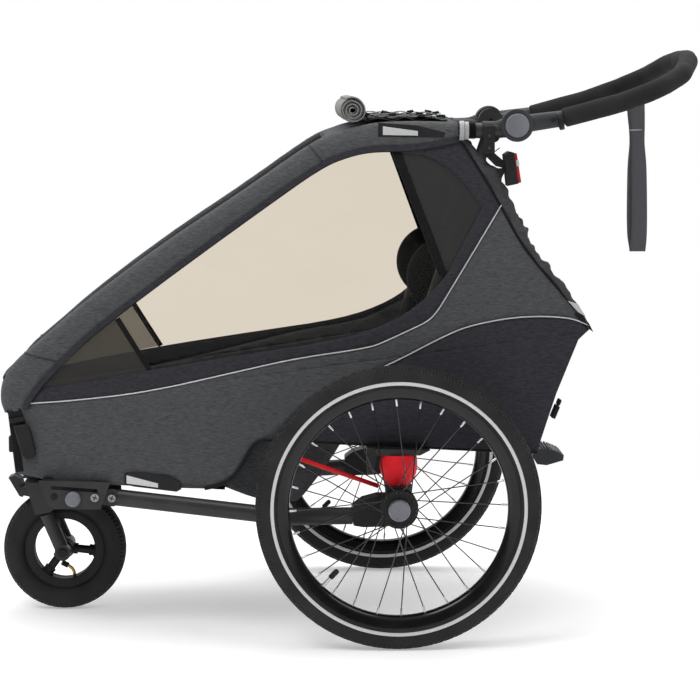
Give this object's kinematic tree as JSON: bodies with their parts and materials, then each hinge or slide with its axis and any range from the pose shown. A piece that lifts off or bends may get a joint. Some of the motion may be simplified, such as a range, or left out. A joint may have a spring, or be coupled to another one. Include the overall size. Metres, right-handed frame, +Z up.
{
  "type": "child bicycle trailer",
  "caption": "Two-seat child bicycle trailer in stroller trim: cloth cabin on a folding tube frame, sprung spoked wheels, swivelling nose wheel and tilting push handle.",
  "frame": {"origin": "on the ground under the middle of the trailer's box", "axes": "+X to the rear (push handle end), +Y to the trailer's right-hand side, +Z up; the trailer stands on its three wheels"},
  "size_m": [1.29, 0.786, 1.047],
  "materials": {
    "frame_aluminium": "black anodised satin",
    "bare_aluminium": "satin",
    "steel": "satin",
    "spoke_steel": "black with silver nipples",
    "black_plastic": "moulded matte",
    "grey_plastic": "moulded satin",
    "tyre_rubber": "matte",
    "red_elastomer": "satin",
    "red_steel": "gloss",
    "body_cloth": "woven melange",
    "hood_cloth": "woven melange",
    "window_film": "clear film with black mesh edge",
    "mesh_cloth": "open mesh",
    "seat_cloth": "padded",
    "webbing": "webbing",
    "foam": "foam",
    "lamp_plastic": "red lens in black case",
    "board": "matte"
  },
  "bodies": {
    "cabin": {"side_rail_left": "frame_aluminium", "side_rail_right": "frame_aluminium", "cross_tubes": "frame_aluminium", "front_bracket_left": "grey_plastic", "front_bracket_right": "grey_plastic", "frame_bolts": "steel", "caster_receiver": "black_plastic", "spring_seats": "grey_plastic", "hoop_hinges": "frame_aluminium", "cabin_body": "body_cloth", "floor_board": "board", "seat_cushion": "seat_cloth", "elastomer_left": "red_elastomer", "elastomer_right": "red_elastomer", "leaf_spring_left": "red_steel", "leaf_spring_right": "red_steel", "tags_and_buckles": "webbing", "brake_hanger": "frame_aluminium", "hood": "hood_cloth", "windows": "window_film", "mesh_panels": "mesh_cloth", "rear_cover": "body_cloth", "rolled_cover": "mesh_cloth"},
    "brake": {"brake_pedal": "black_plastic"},
    "arm_left": {"suspension_arm_left": "frame_aluminium", "axle_carrier_left": "frame_aluminium", "stub_axle_left": "steel"},
    "arm_right": {"suspension_arm_right": "frame_aluminium", "axle_carrier_right": "frame_aluminium", "stub_axle_right": "steel"},
    "wheel_left": {"tyre_left": "tyre_rubber", "rim_left": "frame_aluminium", "spokes_left": "spoke_steel", "hub_left": "frame_aluminium"},
    "wheel_right": {"tyre_right": "tyre_rubber", "rim_right": "frame_aluminium", "spokes_right": "spoke_steel", "hub_right": "frame_aluminium"},
    "hub_release_left": {"hub_button_left": "grey_plastic"},
    "hub_release_right": {"hub_button_right": "grey_plastic"},
    "drawbar_lock": {"drawbar_knob": "grey_plastic"},
    "caster": {"fork_crown": "black_plastic", "fork_legs": "black_plastic", "front_axle": "steel"},
    "caster_lock": {"swivel_lock": "grey_plastic"},
    "front_wheel": {"front_tyre": "tyre_rubber", "front_rim": "black_plastic"},
    "front_frame": {"front_hoop": "frame_aluminium"},
    "rear_frame": {"rear_hoop": "frame_aluminium", "roof_clips": "grey_plastic", "handle_joints": "black_plastic", "backrest": "seat_cloth", "headrests": "seat_cloth", "harness": "webbing", "tail_light": "lamp_plastic"},
    "handle": {"handlebar": "frame_aluminium", "foam_grip": "foam", "wrist_strap": "webbing"},
    "handle_release_left": {"handle_button_left": "grey_plastic"},
    "handle_release_right": {"handle_button_right": "grey_plastic"}
  },
  "joints": [
    {"name": "suspension_left", "type": "hinge", "parent": "cabin", "child": "arm_left", "pos_m": [-0.425, -0.187, 0.243], "axis": [0, -1, 0], "range_deg": [0, 3.2], "stiffness_Nm_per_rad": 1500, "springref_deg": -2.58, "deforming": ["elastomer_left", "leaf_spring_left"]},
    {"name": "wheel_spin_left", "type": "hinge", "parent": "arm_left", "child": "wheel_left", "pos_m": [0.085, -0.355, 0.25], "axis": [0, 1, 0], "continuous": true},
    {"name": "hub_release_left", "type": "slide", "parent": "arm_left", "child": "hub_release_left", "axis": [0, 1, 0], "range_m": [0, 0.003], "stiffness_N_per_m": 1500, "springref_m": -0.002},
    {"name": "handle_release_left", "type": "slide", "parent": "rear_frame", "child": "handle_release_left", "axis": [0, 1, 0], "range_m": [0, 0.003], "stiffness_N_per_m": 1500, "springref_m": -0.002},
    {"name": "suspension_right", "type": "hinge", "parent": "cabin", "child": "arm_right", "pos_m": [-0.425, 0.187, 0.243], "axis": [0, -1, 0], "range_deg": [0, 3.2], "stiffness_Nm_per_rad": 1500, "springref_deg": -2.58, "deforming": ["elastomer_right", "leaf_spring_right"]},
    {"name": "wheel_spin_right", "type": "hinge", "parent": "arm_right", "child": "wheel_right", "pos_m": [0.085, 0.355, 0.25], "axis": [0, 1, 0], "continuous": true},
    {"name": "hub_release_right", "type": "slide", "parent": "arm_right", "child": "hub_release_right", "axis": [0, -1, 0], "range_m": [0, 0.003], "stiffness_N_per_m": 1500, "springref_m": -0.002},
    {"name": "handle_release_right", "type": "slide", "parent": "rear_frame", "child": "handle_release_right", "axis": [0, -1, 0], "range_m": [0, 0.003], "stiffness_N_per_m": 1500, "springref_m": -0.002},
    {"name": "caster_swivel", "type": "hinge", "parent": "cabin", "child": "caster", "pos_m": [-0.57, 0, 0.25], "axis": [0, 0, 1], "continuous": true},
    {"name": "caster_lock_flip", "type": "hinge", "parent": "caster", "child": "caster_lock", "pos_m": [-0.605, 0, 0.226], "axis": [0, 1, 0], "range_deg": [0, 18]},
    {"name": "front_wheel_spin", "type": "hinge", "parent": "caster", "child": "front_wheel", "pos_m": [-0.528, 0, 0.115], "axis": [0, 1, 0], "continuous": true},
    {"name": "drawbar_lock_pull", "type": "slide", "parent": "cabin", "child": "drawbar_lock", "axis": [0, -1, 0], "range_m": [0, 0.008], "stiffness_N_per_m": 800, "springref_m": -0.003},
    {"name": "brake_press", "type": "hinge", "parent": "cabin", "child": "brake", "pos_m": [0.36, 0, 0.298], "axis": [0, 1, 0], "range_deg": [0, 20]},
    {"name": "rear_frame_fold", "type": "hinge", "parent": "cabin", "child": "rear_frame", "pos_m": [0.075, 0, 0.385], "axis": [0, -1, 0], "range_deg": [0, 90], "deforming": ["cabin_body", "hood", "windows", "mesh_panels", "rear_cover", "rolled_cover", "backrest", "headrests", "harness"]},
    {"name": "front_frame_fold", "type": "hinge", "parent": "cabin", "child": "front_frame", "pos_m": [-0.555, 0, 0.332], "axis": [0, 1, 0], "range_deg": [0, 28]},
    {"name": "handle_tilt", "type": "hinge", "parent": "rear_frame", "child": "handle", "pos_m": [0.293, 0, 0.913], "axis": [0, -1, 0], "range_deg": [-60, 95], "deforming": ["wrist_strap"]}
  ],
  "couplings": [
    {"joint": "front_frame_fold", "follows": "rear_frame_fold", "ratio": 0.31111}
  ]
}
